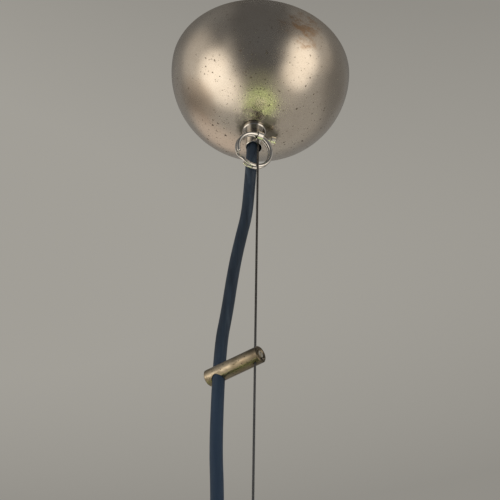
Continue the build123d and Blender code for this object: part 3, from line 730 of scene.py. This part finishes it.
ring_mesh = bmesh.new()
flatten = RING_HALF_DEEP / RING_HALF_WIDE
tube_faces(ring_mesh, ring_path, RING_HALF_WIDE, RING_SIDES, ring_turn @ ring_axis, flatten)
show(mesh_piece("ring_coils", ring_mesh), "ring", "bright_chrome", "split_ring")


def make_light(name, place, aim, size, watts, colour):
    """A soft oval light. Metal doesn't mirror it, and shows the room's own bright places instead."""
    data = bpy.data.lights.new(name, "AREA")
    data.shape = "ELLIPSE"
    data.size, data.size_y = size
    data.energy = watts
    data.color = colour
    light = bpy.data.objects.new(name, data)
    scene.collection.objects.link(light)
    light.location = place
    light.rotation_euler = (Vector(aim) - Vector(place)).to_track_quat("-Z", "Y").to_euler()
    light.visible_camera = False
    light.visible_glossy = False
    light.visible_transmission = False


WARM = (1.0, 0.89, 0.74)
NEUTRAL = (1.0, 0.96, 0.9)
make_light("light_left", (-1.3, -0.7, -0.2), (0, 0, -0.35), (1.2, 1.2), 5.0, WARM)
make_light("light_right", (1.3, -0.9, -0.1), (0, 0, -0.35), (1.0, 1.2), 3.0, WARM)
make_light("light_front", (-0.1, -1.3, -1.0), (0, 0, -0.25), (0.8, 0.8), 5.0, NEUTRAL)
make_light("light_top", (0.3, 0.2, 1.7), (0, 0, -0.3), (1.6, 1.6), 60.0, NEUTRAL)
make_light("light_back", (0.2, 1.3, 1.3), (0, 0, -0.45), (1.1, 0.6), 8.0, NEUTRAL)


class Room(Graph):
    """The surround: a plain pale wall for the camera, and a dim room with bright places for all else."""

    def __init__(self):
        scene.world = bpy.data.worlds.new("surround")
        scene.world.use_nodes = True
        super().__init__(scene.world.node_tree, "Generated")
        self.x, self.y, self.z = (self.axis(letter) for letter in "XYZ")

    def glow(self, azimuth, elevation, inner, outer, strength=1.0):
        """Its strength in a cone of directions, and nothing past the outer angle. Azimuth 0 is the front."""
        turn, rise = math.radians(azimuth), math.radians(elevation)
        level = math.cos(rise)
        middle = (math.sin(turn) * level, -math.cos(turn) * level, math.sin(rise))
        node = self.add("ShaderNodeVectorMath", {0: self.place, 1: middle}, operation="DOT_PRODUCT")
        edge, full = math.cos(math.radians(outer)), math.cos(math.radians(inner))
        return self.span(node.outputs["Value"], edge, full, 0, strength)

    def mirrored(self):
        """What the metal shows: grey walls, a dark front, bright places to the sides and a lamp high up."""
        low_wall, wall, top_wall = (0.40, 0.375, 0.335), (0.25, 0.24, 0.225), (0.17, 0.165, 0.155)
        right_dim, left_dim, back_left = (0.17, 0.16, 0.145), (0.23, 0.2, 0.17), (0.66, 0.55, 0.46)
        dark_front, below = (0.118, 0.117, 0.115), (0.29, 0.29, 0.205)
        bright, lamp = (1.62, 1.47, 1.26), (4.2, 4.05, 3.8)
        walls = self.mix(self.span(self.z, -0.15, 0.25), low_wall, wall)
        walls = self.mix(self.span(self.z, 0.6, 0.8), walls, top_wall)
        walls = self.mix(self.glow(108, 18, 12, 37, 0.75), walls, right_dim)
        walls = self.mix(self.glow(-118, 2, 5, 24, 0.6), walls, left_dim)
        walls = self.mix(self.glow(-152, -6, 5, 30), walls, back_left)
        walls = self.mix(self.glow(-48, 20, 6, 28, 0.6), walls, dark_front)
        aside = self.times(self.sums("ABSOLUTE", self.x), -1.2)
        wedge = self.minus(aside, self.y)
        walls = self.mix(self.span(wedge, -0.1, 0.35), walls, dark_front)
        walls = self.mix(self.glow(0, -76, 6, 34), walls, below)
        left = self.most(
            self.glow(-73, -22, 8, 32),
            self.glow(-80, -43, 8, 29, 0.86),
            self.glow(-84, 9, 10, 34, 0.27),
            self.glow(-95, -62, 6, 20, 0.4),
        )
        right = self.most(
            self.glow(57, -12, 6, 28),
            self.glow(61, -31, 6, 26, 0.95),
            self.glow(72, 12, 8, 26, 0.2),
            self.glow(72, -58, 8, 30, 0.09),
        )
        walls = self.mix(self.most(left, right), walls, bright)
        return self.mix(self.glow(40, 86, 8, 13), walls, lamp)

    def wall(self):
        """What the camera shows: a warm grey that falls off at the edges and is paler near the floor."""
        wall_tone, floor_tone = (0.362, 0.346, 0.312), (0.71, 0.685, 0.633)
        middle_z, bow_depth, slope_depth = 0.708, 17.0, -0.39
        darkest, palest = 0.78, 1.06
        slope = self.times(self.x, slope_depth)
        bow = self.times(self.sums("POWER", self.minus(self.z, middle_z), 2.0), bow_depth)
        shade = self.plus(self.minus(1.0, bow), slope)
        shade = self.sums("MINIMUM", self.most(shade, darkest), palest)
        high = self.mix(shade, (0.0, 0.0, 0.0), wall_tone)
        return self.mix(self.span(self.z, 0.0, 0.5), floor_tone, high)


def make_world():
    room = Room()
    path = room.add("ShaderNodeLightPath")
    seen = room.mix(path.outputs["Is Camera Ray"], room.mirrored(), room.wall())
    room.feed(room.tree.nodes["Background"].inputs["Color"], seen)


make_world()

FLOOR_RADIUS = 30.0
FLOOR_SIDES = 64
FLOOR_Z = -1.5


def make_floor():
    """A plain pale floor well below the lamp, which fades into the wall far off."""
    far_glow, near_glow = (0.43, 0.418, 0.394), (0.30, 0.292, 0.275)
    near_mm, far_mm = 1500, 9000
    mesh = bmesh.new()
    bmesh.ops.create_circle(mesh, cap_ends=True, segments=FLOOR_SIDES, radius=FLOOR_RADIUS)
    floor = mesh_piece("floor", mesh)
    floor.location = (0, 0, FLOOR_Z)
    floor.visible_glossy = False
    look = Finish("floor_paint", Emission_Strength=1.0)
    middle = look.near((0, 0, 0), near_mm, far_mm)
    look.feed(look.shader.inputs["Emission Color"], look.mix(middle, far_glow, near_glow))
    look.colour(look.ramp(look.noise(3, 3), [(0.3, (0.74, 0.73, 0.70)), (0.7, (0.80, 0.79, 0.76))]))
    look.roughness(look.span(look.noise(8, 3), 0.3, 0.7, 0.55, 0.7))
    floor.data.materials.append(look.material)


make_floor()
scene.view_settings.view_transform = "Standard"

bpy.context.view_layer.update()
